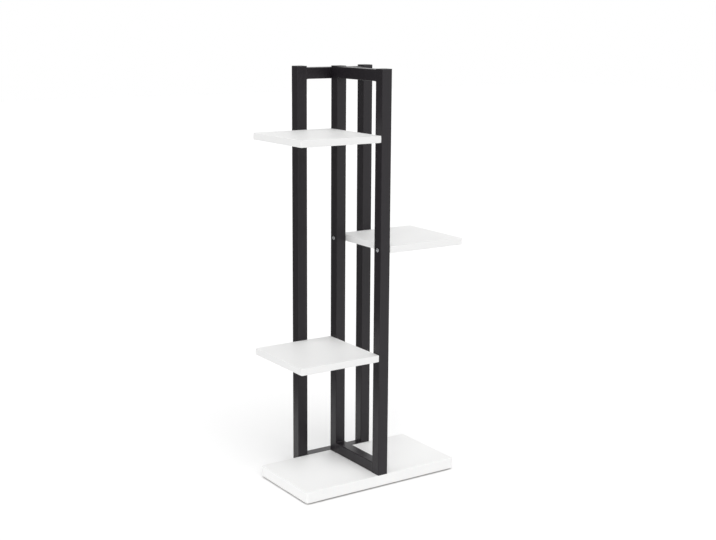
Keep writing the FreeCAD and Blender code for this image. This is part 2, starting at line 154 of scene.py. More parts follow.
class StepShelfFinishes(bpy.types.PropertyGroup):
    """Colours and gloss."""

    lacquer: colour("Lacquer", "White lacquer of the shelves", (0.89, 0.89, 0.885))
    lacquer_shade: colour("Lacquer shade", "Where it is a touch duller", (0.855, 0.855, 0.85))
    # The base's lacquer is the shelves' lacquer painted whiter: painted light that offsets the shade
    # the shelves above cast on the base.
    base_lacquer_painted_lighter: colour("Base lacquer", "White lacquer of the base", (0.94, 0.94, 0.935))
    base_lacquer_painted_lighter_shade: colour("Base shade", "Where it is a touch duller", (0.905, 0.905, 0.90))
    lacquer_roughness: share("Lacquer roughness", "Roughness of the lacquer", 0.48)
    lacquer_gloss: share("Lacquer gloss", "How strongly the lacquer reflects", 0.36)
    # The underside's dark bare fibreboard is partly the board's own colour and partly painted shade
    # that deepens the gap under the base.
    fibreboard: colour("Fibreboard", "Sealed underside of the base", (0.377, 0.3445, 0.3055))
    fibreboard_shade: colour("Fibreboard flecks", "Its dark flecks", (0.203, 0.1855, 0.1645))
    fibreboard_roughness: share("Fibreboard roughness", "Roughness of the fibreboard", 0.8)
    fibreboard_gloss: share("Fibreboard gloss", "How strongly the fibreboard reflects", 0.3)
    coat: colour("Powder coat", "Charcoal coat of the frames", (0.0135, 0.0108, 0.0140))
    coat_shade: colour("Coat shade", "Where it is a touch darker", (0.0102, 0.0082, 0.0106))
    coat_roughness: share("Coat roughness", "Roughness of the powder coat", 0.34)
    coat_gloss: share("Coat gloss", "How strongly the powder coat reflects", 0.36)
    plastic: colour("Plastic", "Black plastic of plugs and pads", (0.026, 0.026, 0.027))
    plastic_shade: colour("Plastic shade", "Where it is a touch darker", (0.0208, 0.0208, 0.0216))
    plastic_roughness: share("Plastic roughness", "Roughness of the plastic", 0.5)
    zinc: colour("Zinc", "Plated steel of the fasteners", (0.68, 0.69, 0.70))
    zinc_shade: colour("Zinc shade", "Where the plating is duller", (0.52, 0.53, 0.55))
    zinc_roughness: share("Zinc roughness", "Roughness of the plating", 0.3)


class StepShelfStage(bpy.types.PropertyGroup):
    """Camera, floor and lights."""

    camera_place: FloatVectorProperty(
        name="Camera", description="Where the camera stands",
        default=(-1.49766, -2.23257, 1.04296), unit="LENGTH", subtype="TRANSLATION",
    )
    camera_yaw: angle("Yaw", "Turn of the view to the right", 33.95)
    camera_pitch: angle("Pitch", "Rise of the view", -11.86)
    camera_roll: angle("Roll", "Tilt of the view", 0.40)
    focal_pixels: FloatProperty(
        name="Focal length", description="Focal length in pixels of the frame", default=1221.4
    )
    frame_pixels: IntProperty(
        name="Frame width", description="Width of the frame in pixels", default=716
    )
    floor_size: length("Floor", "Side of the floor", 24.0)
    floor: colour("Floor colour", "Colour of the floor where it lights the shelf", (0.9, 0.9, 0.9))
    floor_seen: colour("Seen floor", "Colour of the floor to the camera", (1.0, 1.0, 1.0))
    floor_lift: share("Floor lift", "What the camera sees added to the floor's own light", 0.04)
    sky_fill: share("Sky fill", "Strength of the surrounding light", 0.52)
    card_way: FloatVectorProperty(
        name="Card way", description="Way from the shelf to the dark card behind it",
        default=(-0.56, 0.83, 0.0), subtype="DIRECTION",
    )
    card_distance: length("Card distance", "From the shelf to the card", 0.58)
    card_left: length("Card to the left", "How far the card reaches left", 1.4)
    card_right: length("Card to the right", "How far the card reaches right", 0.35)
    card_height: length("Card height", "Height of the card", 2.0)
    card_shade: share("Card shade", "How light the card looks", 0.2)


class Wire:
    """One output of a shader node, whose sums and products are Math nodes."""

    def __init__(self, socket):
        self.socket = socket

    def math(self, operation, other):
        """A Math node on this output and another one, or a number."""
        return add_node(self.socket.id_data, "ShaderNodeMath", {"operation": operation}, [self, other])

    def __add__(self, other):
        return self.math("ADD", other)

    def __mul__(self, other):
        return self.math("MULTIPLY", other)

    __radd__ = __add__
    __rmul__ = __mul__


def add_node(tree, kind, settings=None, inputs=None, output=0):
    """A node of a type: its settings are set first, then its sockets get values or wires."""
    node = tree.nodes.new(kind)
    for name, value in (settings or {}).items():
        setattr(node, name, value)
    pairs = inputs.items() if isinstance(inputs, dict) else enumerate(inputs or [])
    for key, value in pairs:
        if isinstance(value, Wire):
            tree.links.new(value.socket, node.inputs[key])
        else:
            node.inputs[key].default_value = value
    return Wire(node.outputs[output]) if node.outputs else node


def noise(tree, place, waves, detail=2.0, roughness=0.5):
    """Smooth random values about one half, with a given number of waves to the metre."""
    inputs = {"Vector": place, "Scale": waves, "Detail": detail, "Roughness": roughness}
    return add_node(tree, "ShaderNodeTexNoise", None, inputs)


def varied(middle, mask, swing):
    """A value that wanders by a swing in all, as a mask does about one half."""
    return middle - swing / 2 + swing * mask


def bump(tree, height, strength, depth):
    """A normal bent by a height, which is the depth at full strength."""
    inputs = {"Strength": strength, "Distance": depth, "Height": height}
    return add_node(tree, "ShaderNodeBump", None, inputs)


def blend_colours(tree, factor, first, second):
    """A colour between two, by a factor. The Mix node's colour sockets go by number."""
    first_input, second_input, mixed = 6, 7, 2
    inputs = {"Factor": factor, first_input: (*first, 1.0), second_input: (*second, 1.0)}
    return add_node(tree, "ShaderNodeMix", {"data_type": "RGBA"}, inputs, output=mixed)


def light_path(tree, ray):
    """One where the surface is met by a kind of ray, and nought elsewhere."""
    return add_node(tree, "ShaderNodeLightPath", output=ray)


def new_finish(name):
    """An empty node material, and the wire of its object coordinates."""
    material = bpy.data.materials.new(name)
    material.use_nodes = True
    tree = material.node_tree
    tree.nodes.clear()
    place = add_node(tree, "ShaderNodeTexCoord", output="Object")
    return material, tree, place


def close_finish(tree, inputs):
    """The surface shader and the output of a finish."""
    shader = add_node(tree, "ShaderNodeBsdfPrincipled", None, inputs)
    add_node(tree, "ShaderNodeOutputMaterial", None, {"Surface": shader})


def lacquer_finish(name, full, shade, finishes):
    """White satin lacquer on fibreboard: flat, with a faint orange peel and uneven gloss."""
    material, tree, place = new_finish(name)
    clouds = noise(tree, place, waves=9.0)
    wipes = noise(tree, place, waves=48.0, detail=3.0)
    peel = noise(tree, place, waves=420.0)
    grain = noise(tree, place, waves=2600.0, detail=1.0)
    grain_share = 0.25
    close_finish(tree, {
        "Base Color": blend_colours(tree, clouds, shade, full),
        "Roughness": varied(finishes.lacquer_roughness, wipes, swing=0.08),
        "Normal": bump(tree, peel + grain_share * grain, strength=0.35, depth=0.00005),
        "Specular IOR Level": finishes.lacquer_gloss,
    })
    return material


def shelf_lacquer_finish(finishes):
    """The lacquer of the three shelves."""
    full, shade = finishes.lacquer, finishes.lacquer_shade
    return lacquer_finish("satin_lacquer", full, shade, finishes)


def base_lacquer_painted_lighter_finish(finishes):
    """The lacquer of the base, a touch whiter than the shelves': painted light that offsets the shade
    the shelves above cast on it.
    """
    full, shade = finishes.base_lacquer_painted_lighter, finishes.base_lacquer_painted_lighter_shade
    return lacquer_finish("satin_lacquer_base_painted_lighter", full, shade, finishes)


def fibreboard_and_gap_shade_finish(finishes):
    """Sealed bare fibreboard: short pressed fibres and darker flecks. Its dark colour under the base is
    also painted shade, deepening the gap between the base and the floor.
    """
    material, tree, place = new_finish("fibreboard_and_gap_shade")
    clouds = noise(tree, place, waves=30.0, detail=3.0)
    fibres = noise(tree, place, waves=1500.0, detail=3.0, roughness=0.7)
    fibre_share = 0.6
    flecks = (1 - fibre_share) * clouds + fibre_share * fibres
    close_finish(tree, {
        "Base Color": blend_colours(tree, flecks, finishes.fibreboard_shade, finishes.fibreboard),
        "Roughness": varied(finishes.fibreboard_roughness, clouds, swing=0.1),
        "Normal": bump(tree, fibres, strength=0.5, depth=0.00005),
        "Specular IOR Level": finishes.fibreboard_gloss,
    })
    return material


def coat_finish(finishes):
    """Charcoal powder coat: fine baked texture over a faint orange peel."""
    material, tree, place = new_finish("charcoal_coat")
    clouds = noise(tree, place, waves=35.0, detail=3.0)
    peel = noise(tree, place, waves=500.0)
    sand = noise(tree, place, waves=1900.0, roughness=0.6)
    peel_share = 0.8
    close_finish(tree, {
        "Base Color": blend_colours(tree, clouds, finishes.coat_shade, finishes.coat),
        "Roughness": varied(finishes.coat_roughness, sand, swing=0.12),
        "Normal": bump(tree, peel_share * peel + sand, strength=0.8, depth=0.00012),
        "Specular IOR Level": finishes.coat_gloss,
    })
    return material


def plastic_finish(finishes):
    """Black moulded plastic with an etched grain."""
    material, tree, place = new_finish("moulded_plastic")
    etch = noise(tree, place, waves=1400.0, detail=3.0, roughness=0.6)
    scuffs = noise(tree, place, waves=120.0)
    close_finish(tree, {
        "Base Color": blend_colours(tree, scuffs, finishes.plastic_shade, finishes.plastic),
        "Roughness": varied(finishes.plastic_roughness, scuffs, swing=0.1),
        "Normal": bump(tree, etch, strength=0.8, depth=0.00003),
    })
    return material


def zinc_finish(finishes):
    """Zinc-plated steel with a crystal mottle."""
    material, tree, place = new_finish("zinc_plate")
    mottle = noise(tree, place, waves=900.0, detail=3.0, roughness=0.65)
    grain = noise(tree, place, waves=5000.0, detail=1.0)
    close_finish(tree, {
        "Base Color": blend_colours(tree, mottle, finishes.zinc_shade, finishes.zinc),
        "Metallic": 1.0,
        "Roughness": varied(finishes.zinc_roughness, mottle, swing=0.16),
        "Normal": bump(tree, grain, strength=0.3, depth=0.00003),
    })
    return material


def finish_named(name):
    """The material of a finish, made when it is first asked for."""
    makers = {
        "satin_lacquer": shelf_lacquer_finish,
        "satin_lacquer_base_painted_lighter": base_lacquer_painted_lighter_finish,
        "fibreboard_and_gap_shade": fibreboard_and_gap_shade_finish,
        "charcoal_coat": coat_finish,
        "moulded_plastic": plastic_finish,
        "zinc_plate": zinc_finish,
    }
    return bpy.data.materials.get(name) or makers[name](bpy.context.scene.step_shelf_finishes)


def open_range(start, end, count):
    """Evenly spaced values from one to another, without the last one."""
    return np.linspace(start, end, count, endpoint=False)


def rounded_rectangles(half_x, half_y, corner, steps):
    """Points of rounded rectangles, one rectangle to a row, anticlockwise seen from above.

    Each corner is a quarter circle about a centre that lies one radius inside both sides.
    """
    quarter = np.linspace(0.0, np.pi / 2, steps + 1)
    turn = (np.arange(4)[:, None] * np.pi / 2 + quarter).ravel()
    side_x = np.repeat([1.0, -1.0, -1.0, 1.0], steps + 1)
    side_y = np.repeat([1.0, 1.0, -1.0, -1.0], steps + 1)
    sizes = (half_x, half_y, corner)
    half_x, half_y, corner = (np.asarray(size, float)[:, None] for size in sizes)
    x = (half_x - corner) * side_x + corner * np.cos(turn)
    y = (half_y - corner) * side_y + corner * np.sin(turn)
    return x, y


def circles(radii, heights, turn):
    """Rows of points round Z at their radii, one row to a height."""
    x, y = radii * np.cos(turn), radii * np.sin(turn)
    return x, y, np.broadcast_to(np.asarray(heights, float)[:, None], x.shape)


def numbered(x, y, z):
    """The points of rows as one list, and each point's number at its place in the rows."""
    rows, columns = x.shape
    z = np.broadcast_to(np.asarray(z, float).reshape(rows, -1), x.shape)
    points = np.stack([x, y, z], axis=-1).reshape(-1, 3)
    return points, np.arange(rows * columns).reshape(rows, columns)


def quads_between(rows, next_rows):
    """The faces between closed rows of point numbers and the rows that follow them."""
    corners = [rows, np.roll(rows, -1, axis=1), np.roll(next_rows, -1, axis=1), next_rows]
    return np.stack(corners, axis=-1).reshape(-1, 4)


def rows_to_shell(x, y, z):
    """A closed skin through rows of points, with a flat face at each end.

    The rows run from the lower end over the outside to the upper end.
    """
    points, index = numbered(x, y, z)
    return points, quads_between(index[:-1], index[1:]), [index[0, ::-1], index[-1]]


def rows_to_ring(x, y, z):
    """A closed skin whose last row joins its first one, so that it needs no face at an end."""
    points, index = numbered(x, y, z)
    return points, quads_between(index, np.roll(index, -1, axis=0)), []


def placed(shell, matrix):
    """A shell moved and turned by a matrix."""
    points, quads, caps = shell
    turn = np.array(matrix.to_3x3())
    return points @ turn.T + np.array(matrix.translation), quads, caps


def new_piece(name, shells, finish):
    """One object from closed shells, in one finish."""
    faces, start = [], 0
    for points, quads, caps in shells:
        faces += (start + quads).tolist() + [(start + cap).tolist() for cap in caps]
        start += len(points)
    mesh = bpy.data.meshes.new(name)
    mesh.from_pydata(np.concatenate([shell[0] for shell in shells]).tolist(), [], faces)
    mesh.update()
    piece = bpy.data.objects.new(name, mesh)
    bpy.context.scene.collection.objects.link(piece)
    mesh.materials.append(finish_named(finish))
    return piece


def smooth(piece, degrees=35.0):
    """Smooth shading that keeps flat faces flat, and edges sharper than an angle sharp."""
    piece.data.shade_smooth()
    piece.data.set_sharp_from_angle(angle=math.radians(degrees))
    modifier = piece.modifiers.new("flat_faces", "WEIGHTED_NORMAL")
    modifier.keep_sharp = True


def dress(piece, node):
    """The piece stands for a node, if it has one, and moves with the shelf."""
    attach(piece, "root")
    if node:
        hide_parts(node)


def rounded_slab(low, high, corner, edge_low, edge_high, steps=8):
    """A board or pad between two corners, with rounded upright corners and rounded rims.

    The profile is a quarter circle out, straight up and a quarter circle in again, carried
    round the outline: the outline shrinks by as much as the profile moves in.
    """
    turn = np.linspace(0.0, np.pi / 2, steps + 1)
    inset = np.concatenate([edge_low * (1 - np.sin(turn)), edge_high * (1 - np.cos(turn))])
    up = np.concatenate([low.z + edge_low * (1 - np.cos(turn)),
                         high.z - edge_high * (1 - np.sin(turn))])
    half = (high - low) / 2
    middle = (high + low) / 2
    x, y = rounded_rectangles(half.x - inset, half.y - inset, corner - inset, steps)
    return rows_to_shell(x + middle.x, y + middle.y, up)


def along_sides(values, parts=8):
    """Each row's values with further even ones between every two, so that long sides bend."""
    way = np.arange(parts) / parts
    after = np.roll(values, -1, axis=1)
    return (values[..., None] * (1 - way) + after[..., None] * way).reshape(len(values), -1)


def plug(plate_height, forms, side, steps=5, crown_rows=16):
    """A ribbed hollow plug: its plate above the origin, crowned, and its stem below.

    The profile is half sizes against heights, carried round a square with round corners:
    down the hollow, out at the stem's end, up over the ribs, round the plate and in over its
    crown. The two ribs have sloped edges. The crown's rise is one minus the square of the way
    from the middle in X, times the same in Y.
    """
    rib = side / 2 - forms.tube_wall - forms.rib_gap
    stem = rib - forms.rib_depth
    hollow = stem - forms.stem_wall
    slope = forms.rib_thickness / 4
    end = -forms.stem_length
    lower_rib_top, upper_rib_top = end + 3 * forms.rib_thickness, -forms.rib_thickness
    half, up = [hollow, hollow, stem - slope, stem], [0.0, end, end, end + slope]
    for top in (lower_rib_top, upper_rib_top):
        low = top - forms.rib_thickness
        half += [stem, rib - slope, rib, rib, rib - slope, stem]
        up += [low, low + slope / 2, low + slope, top - slope, top - slope / 2, top]
    half += [stem, side / 2]
    up += [0.0, 0.0]
    turn = np.linspace(0.0, np.pi / 2, steps + 1)
    edge, rim = forms.plate_edge, plate_height - forms.plate_crown
    flat = side / 2 - edge
    innermost_share = 0.04
    inward = np.linspace(1.0, innermost_share, crown_rows + 1)[1:]
    half = np.concatenate([half, flat + edge * np.cos(turn), flat * inward])
    up = np.concatenate([up, rim - edge * (1 - np.sin(turn)), np.full(crown_rows, rim)])
    crowned = (np.arange(len(half)) >= len(half) - crown_rows)[:, None]
    x, y = rounded_rectangles(half, half, forms.tube_corner * half / (side / 2), steps)
    x, y = along_sides(x), along_sides(y)
    bulge_x, bulge_y = (np.clip(1 - (values / flat) ** 2, 0, 1) for values in (x, y))
    return rows_to_shell(x, y, up[:, None] + crowned * forms.plate_crown * bulge_x * bulge_y)


def weld(side, forms, steps=10, side_steps=24, around=12):
    """The weld round the end of a rail: a low ground band, and a full bead on the side of +X.

    The path is the rail's rounded square outline. The section is an ellipse across it, which
    swells from the flush height to the weld's leg where the outline faces +X, with a ripple
    along the bead and less of it at its ends.
    """
    bead_from, end_share, ripple_share, ripples_to_leg = 0.7, 0.25, 0.06, 1.4
    flat = side / 2 - forms.tube_corner
    x, y = rounded_rectangles([side / 2], [side / 2], [forms.tube_corner], steps)
    corners = np.stack([x, y], axis=-1).reshape(4, steps + 1, 2)
    start, end = corners[:, -1:], np.roll(corners[:, :1], -1, axis=0)
    sides = start + (end - start) * open_range(0.0, 1.0, side_steps)[:, None]
    path = np.concatenate([corners[:, :-1], sides], axis=1).reshape(-1, 2)
    outward = np.sign(path) * np.maximum(np.abs(path) - flat, 0.0)
    outward /= np.linalg.norm(outward, axis=1, keepdims=True)
    along = path[:, 1]
    leg = forms.weld_leg
    swell = np.clip((outward[:, 0] - bead_from) / (1 - bead_from), 0.0, 1.0)
    taper = np.clip((flat - np.abs(along)) / (2 * leg) + end_share, end_share, 1.0)
    ripple = 1 + ripple_share * np.cos(2 * np.pi * along / leg * ripples_to_leg)
    bead = swell * taper * ripple
    turn = open_range(0.0, 2 * np.pi, around)[:, None]
    out = (forms.weld_flush + (leg - forms.weld_flush) * bead) * np.cos(turn)
    up = (forms.weld_band + (leg - forms.weld_band) * bead) * np.sin(turn)
    return rows_to_ring(path[:, 0] + outward[:, 0] * out, path[:, 1] + outward[:, 1] * out, up)


def cross_outline(arm, width, flank):
    """Points of a cross about the origin, anticlockwise, with the same count as a circle's.

    Each quarter runs from the middle of one arm's end out to its corner, in to the inner
    corner, and out along the next arm, with flank points on each of the two long edges.
    """
    inward, level = open_range(arm, width, flank), np.full(flank, width)
    quarter_x = np.concatenate([[arm], inward, [width], level])
    quarter_y = np.concatenate([[0.0], level, [width], inward[::-1]])
    turns = [(1, 0), (0, 1), (-1, 0), (0, -1)]
    x = np.concatenate([c * quarter_x - s * quarter_y for c, s in turns])
    y = np.concatenate([s * quarter_x + c * quarter_y for c, s in turns])
    return x, y


def thread(radius, core, pitch, reach, top, point, turn, point_rows=6, rows_to_pitch=5):
    """Rows of a threaded shank whose point is at height nought, up to its reach.

    The radius is a wave in the height, counted from the screw's top, over the pitch, less the
    turn. Flat roots lie between the wave's ridges, and all of it narrows to the point.
    """
    root_share, tip_share = 0.375, 0.05
    straight = point + np.arange(0.0, reach - point, pitch / rows_to_pitch)
    up = np.concatenate([open_range(0.0, point, point_rows), straight])
    wave = np.mod((up - top)[:, None] / pitch - turn / (2 * np.pi), 1.0)
    ridge = np.clip((1 - np.abs(2 * wave - 1) - root_share) / (1 - root_share), 0.0, 1.0)
    full = np.clip(up / point, tip_share, 1.0)[:, None]
    return circles(full * (core + (radius - core) * ridge), up, turn)


def screw_cap(radius, height, recess, turn, flank, rows=7):
    """Rows of a domed head from near its edge in, and down into its cross recess.

    The height is a low rim, plus the rest times (1 - (distance / radius) ** flatness) **
    fullness. The rows are circles as far as the cross, which narrows as it deepens.
    """
    rim_share, flatness, fullness = 0.15, 2.2, 0.85
    arm_share, width_share, inner_share, crowding = 0.56, 0.15, 1.1, 0.8
    recess_shares, recess_sizes = np.array([0.0, 0.08, 1.0]), np.array([1.0, 0.97, 0.5])
    arm, width = arm_share * radius, width_share * radius
    inner = inner_share * arm

    def dome(distance):
        """Height of the head over its seat at a distance from the middle."""
        rise = (1 - np.clip(distance / radius, 0.0, 1.0) ** flatness) ** fullness
        return height * (rim_share + (1 - rim_share) * rise)

    out = inner + (radius - inner) * np.cos(open_range(0.0, np.pi / 2, rows)) ** crowding
    x, y = cross_outline(arm, width, flank)
    sunk = dome(np.hypot(x, y)) - recess_shares[:, None] * recess
    cross = [recess_sizes[:, None] * x, recess_sizes[:, None] * y, sunk]
    return [np.concatenate(pair) for pair in zip(circles(out[:, None], dome(out), turn), cross)]


def headed_screw(radius, core, pitch, reach, point, head, head_height, recess, flank=3):
    """A screw that points down from the top of its head at the origin.

    Its rows are those of the thread, three circles under and round the head, and the cap.
    """
    seat_share, edge_share = 0.97, 0.05
    top = reach + head_height
    turn = open_range(0.0, 2 * np.pi, 4 * (2 * flank + 2))
    shank = thread(radius, core, pitch, reach, top, point, turn)
    seat = circles(np.array([radius, seat_share * head, head])[:, None],
                   reach + head_height * np.array([0.0, 0.0, edge_share]), turn)
    cap_x, cap_y, cap_z = screw_cap(head, head_height, recess, turn, flank)
    x, y, z = (np.concatenate(part) for part in zip(shank, seat, (cap_x, cap_y, cap_z + reach)))
    return rows_to_shell(x, y, z - top)


def nut(flats, height, bore, steps=8):
    """A hexagon nut about Z from the origin up, its corners cut by two shallow cones.

    Between the bore's two rims the outline is a circle, a hexagon twice, and a circle again;
    the circles lie just inside the hexagon's flats.
    """
    chamfer_share, rim_share = 0.12, 0.97
    turn = open_range(0.0, 2 * np.pi, 6 * steps)
    hexagon = flats / 2 / np.cos(np.mod(turn, np.pi / 3) - np.pi / 6)
    hole, rim = np.full_like(turn, bore), np.full_like(turn, rim_share * flats / 2)
    heights = height * np.array([0.0, 0.0, chamfer_share, 1 - chamfer_share, 1.0, 1.0])
    radii = np.stack([hole, rim, hexagon, hexagon, rim, hole])
    return rows_to_ring(*circles(radii, heights, turn))


def rod(radius, low, high, columns=48):
    """A plain round rod along Z, for drilling."""
    turn = open_range(0.0, 2 * np.pi, columns)
    return rows_to_shell(*circles(np.full((2, 1), radius), [low, high], turn))


def drilled(piece, drill):
    """Cuts a rod out of a piece and keeps the result as its mesh."""
    cutter = new_piece(f"{piece.name}_drill", [drill], piece.data.materials[0].name)
    modifier = piece.modifiers.new("holes", "BOOLEAN")
    modifier.operation = "DIFFERENCE"
    modifier.solver = "EXACT"
    modifier.object = cutter
    graph = bpy.context.evaluated_depsgraph_get()
    mesh = bpy.data.meshes.new_from_object(piece.evaluated_get(graph))
    piece.modifiers.remove(modifier)
    piece.data = mesh
    bpy.data.objects.remove(cutter)


def bare_board_and_gap_shade_below(piece):
    """Gives dark bare board to the faces that look straight down, partly as painted shade for the gap
    under the base, and to the walls of the bolts' holes.

    A wall is a face whose normal is near level and whose middle lies within a pocket's radius
    of a bolt, with a little to spare.
    """
    down, level, spare = -0.95, 0.5, 1.01
    faces = piece.data.polygons
    normals, centres = np.empty((2, 3 * len(faces)), np.float32)
    faces.foreach_get("normal", normals)
    faces.foreach_get("center", centres)
    normals, centres = normals.reshape(-1, 3), centres.reshape(-1, 3)
    away = np.min([np.hypot(centres[:, 0] - x, centres[:, 1] - y) for x, y in bolt_places()], axis=0)
    reach = spare * bpy.context.scene.step_shelf_forms.bolt_pocket_radius
    walls = (away < reach) & (np.abs(normals[:, 2]) < level)
    piece.data.materials.append(finish_named("fibreboard_and_gap_shade"))
    faces.foreach_set("material_index", ((normals[:, 2] < down) | walls).astype(np.int32))


def facing(direction, place):
    """The matrix that lays the local Z axis along a direction and moves the origin to a place."""
    turn = Vector(direction).to_track_quat("Z", "Y").to_matrix().to_4x4()
    return Matrix.Translation(Vector(place)) @ turn


def middle_of(node):
    """The middle of a node's box."""
    low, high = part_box(node)
    return (low + high) / 2


def screw_seats():
    """Where each screw's head rests: the place, the way in, and the board that it holds."""
    forms = bpy.context.scene.step_shelf_forms
    forward = (0, -1, 0)
    seats = []
    for board in boards[1:]:
        is_left = board in left_shelves
        height = middle_of(board).z
        for post in depth_posts:
            low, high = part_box(post)
            face, inward = (high.x, (-1, 0, 0)) if is_left else (low.x, (1, 0, 0))
            seats.append(((face, middle_of(post).y, height), inward, board))
        post = back_posts[0] if is_left else back_posts[1]
        seats.append(((middle_of(post).x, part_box(post)[1].y, height), forward, board))
    rail = "back_bottom_rail"
    for side in (-0.5, 0.5):
        place = (side * forms.rear_screw_spacing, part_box(rail)[1].y, middle_of(rail).z)
        seats.append((place, forward, "base_board"))
    return seats


def bolt_places():
    """Where the bolts stand under the base, in X and Y."""
    forms = bpy.context.scene.step_shelf_forms
    middle = middle_of("base_board")
    return [(middle.x, middle.y + side * forms.bolt_spacing) for side in (-0.5, 0.5)]


class STEP_SHELF_OT_boards(bpy.types.Operator):
    """The base and the three shelves: lacquered boards with soft edges, drilled for their fasteners"""

    bl_idname = "step_shelf.boards"
    bl_label = "Boards"

    def execute(self, context):
        forms = context.scene.step_shelf_forms
        tube_low, tube_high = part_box("front_post")
        side = tube_high.x - tube_low.x
        for board in boards:
            low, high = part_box(board)
            is_base = board == "base_board"
            corner = forms.base_corner if is_base else forms.board_corner
            # The base's lacquer is painted whiter than the shelves', as painted light against the shade
            # from the shelves above.
            finish = "satin_lacquer_base_painted_lighter" if is_base else "satin_lacquer"
            slab = rounded_slab(low, high, corner, forms.board_edge, forms.board_edge)
            piece = new_piece(f"{board}_lacquered", [slab], finish)
            drills = self.pilots(forms, board, side)
            if is_base:
                drills += self.bolt_bores(forms, low.z, side)
            for drill in drills:
                drilled(piece, drill)
            if is_base:
                # The underside gets dark bare board, partly as painted shade for the gap under the
                # base.
                bare_board_and_gap_shade_below(piece)
            smooth(piece)
            dress(piece, board)
        return {"FINISHED"}

    def pilots(self, forms, board, side):
        """Rods for the holes of the screws that hold a board, from half a tube before its edge."""
        pilot = rod(forms.pilot_radius, -side / 2, forms.pilot_depth)
        return [placed(pilot, facing(inward, Vector(place) + Vector(inward) * side))
                for place, inward, held in screw_seats() if held == board]

    def bolt_bores(self, forms, under, side):
        """Rods for the bolts' holes through the base and for the pockets of their heads.

        They start a tube's width under the base, and the holes end as far above it.
        """
        bores = []
        for across, deep in bolt_places():
            foot = Matrix.Translation((across, deep, under))
            bores.append(placed(rod(forms.bolt_hole_radius, -side, 2 * side), foot))
            bores.append(placed(rod(forms.bolt_pocket_radius, -side, forms.bolt_pocket_depth), foot))
        return bores


class STEP_SHELF_OT_tubes(bpy.types.Operator):
    """The eight tubes of the two frames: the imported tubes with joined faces, so that corners shine"""

    bl_idname = "step_shelf.tubes"
    bl_label = "Tubes"

    def execute(self, context):
        joined_within = 1e-6
        for tube in tubes:
            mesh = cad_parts[tube].data.copy()
            mesh.name = f"{tube}_coated"
            shape = bmesh.new()
            shape.from_mesh(mesh)
            bmesh.ops.remove_doubles(shape, verts=shape.verts, dist=joined_within)
            shape.to_mesh(mesh)
            shape.free()
            mesh.materials.clear()
            mesh.materials.append(finish_named("charcoal_coat"))
            piece = bpy.data.objects.new(mesh.name, mesh)
            context.scene.collection.objects.link(piece)
            smooth(piece)
            dress(piece, tube)
        return {"FINISHED"}


class STEP_SHELF_OT_welds(bpy.types.Operator):
    """The welds where each rail meets its posts: ground flush outside, a bead in the inner corner"""

    bl_idname = "step_shelf.welds"
    bl_label = "Welds"

    def execute(self, context):
        forms = context.scene.step_shelf_forms
        for rail in depth_rails + back_rails:
            low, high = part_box(rail)
            middle = (low + high) / 2
            is_upper = middle.z > (frame_bounds[0].z + frame_bounds[1].z) / 2
            axis = 1 if rail in depth_rails else 0
            shells = []
            for end, way in ((low[axis], 1.0), (high[axis], -1.0)):
                place = Vector(middle)
                place[axis] = end
                along = Vector((0.0, 0.0, 0.0))
                along[axis] = way
                inner = Vector((0.0, 0.0, -1.0 if is_upper else 1.0))
                turn = Matrix((inner, along.cross(inner), along)).transposed().to_4x4()
                shells.append(placed(weld(high.z - low.z, forms), Matrix.Translation(place) @ turn))
            piece = new_piece(f"{rail}_welds", shells, "charcoal_coat")
            smooth(piece, degrees=60.0)
            dress(piece, None)
        return {"FINISHED"}


class STEP_SHELF_OT_plugs(bpy.types.Operator):
    """The ribbed plastic plugs in the upper ends of the posts and under the back posts"""

    bl_idname = "step_shelf.plugs"
    bl_label = "Plugs"

    def execute(self, context):
        forms = context.scene.step_shelf_forms
        for node, posts, is_top in (
            ("post_end_plugs", depth_posts + back_posts, True),
            ("post_foot_plugs", back_posts, False),
        ):
            low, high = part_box(node)
            turn = Matrix.Identity(4) if is_top else Matrix.Rotation(math.pi, 4, "X")
            shells = []
            for post in posts:
                post_low, post_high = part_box(post)
                mouth = post_high.z if is_top else post_low.z
                plate = high.z - mouth if is_top else mouth - low.z
                middle = middle_of(post)
                shape = plug(plate, forms, post_high.x - post_low.x)
                shells.append(placed(shape, Matrix.Translation((middle.x, middle.y, mouth)) @ turn))
            piece = new_piece(f"{node}_moulded", shells, "moulded_plastic")
            smooth(piece)
            dress(piece, node)
        return {"FINISHED"}


class STEP_SHELF_OT_pads(bpy.types.Operator):
    """The four square pads under the base"""

    bl_idname = "step_shelf.pads"
    bl_label = "Pads"

    def execute(self, context):
        forms = context.scene.step_shelf_forms
        low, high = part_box("base_glides")
        side, upper_edge = forms.pad_side, forms.pad_edge / 4
        size = Vector((side, side, high.z - low.z))
        shells = []
        for x in (low.x, high.x - side):
            for y in (low.y, high.y - side):
                corner = Vector((x, y, low.z))
                shells.append(rounded_slab(corner, corner + size, forms.pad_corner,
                                           forms.pad_edge, upper_edge, steps=5))
        piece = new_piece("base_glides_moulded", shells, "moulded_plastic")
        smooth(piece)
        dress(piece, "base_glides")
        return {"FINISHED"}


class STEP_SHELF_OT_screws(bpy.types.Operator):
    """The screws that hold the boards: low domed heads with a cross recess, threads and points"""

    bl_idname = "step_shelf.screws"
    bl_label = "Screws"

    def execute(self, context):
        forms = context.scene.step_shelf_forms
        low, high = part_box("front_post")
        reach = high.x - low.x + forms.screw_reach
        screw = headed_screw(forms.screw_radius, forms.screw_core, forms.screw_pitch, reach,
                             forms.screw_point, forms.screw_head, forms.screw_head_height,
                             forms.recess_depth)
        turn_to_next = 0.7
        shells = []
        for number, (place, inward, _) in enumerate(screw_seats()):
            top = Vector(place) - Vector(inward) * forms.screw_head_height
            spin = Matrix.Rotation(turn_to_next * number, 4, "Z")
            shells.append(placed(screw, facing(-Vector(inward), top) @ spin))
        piece = new_piece("board_screws_threaded", shells, "zinc_plate")
        smooth(piece, degrees=40.0)
        dress(piece, "board_screws")
        return {"FINISHED"}


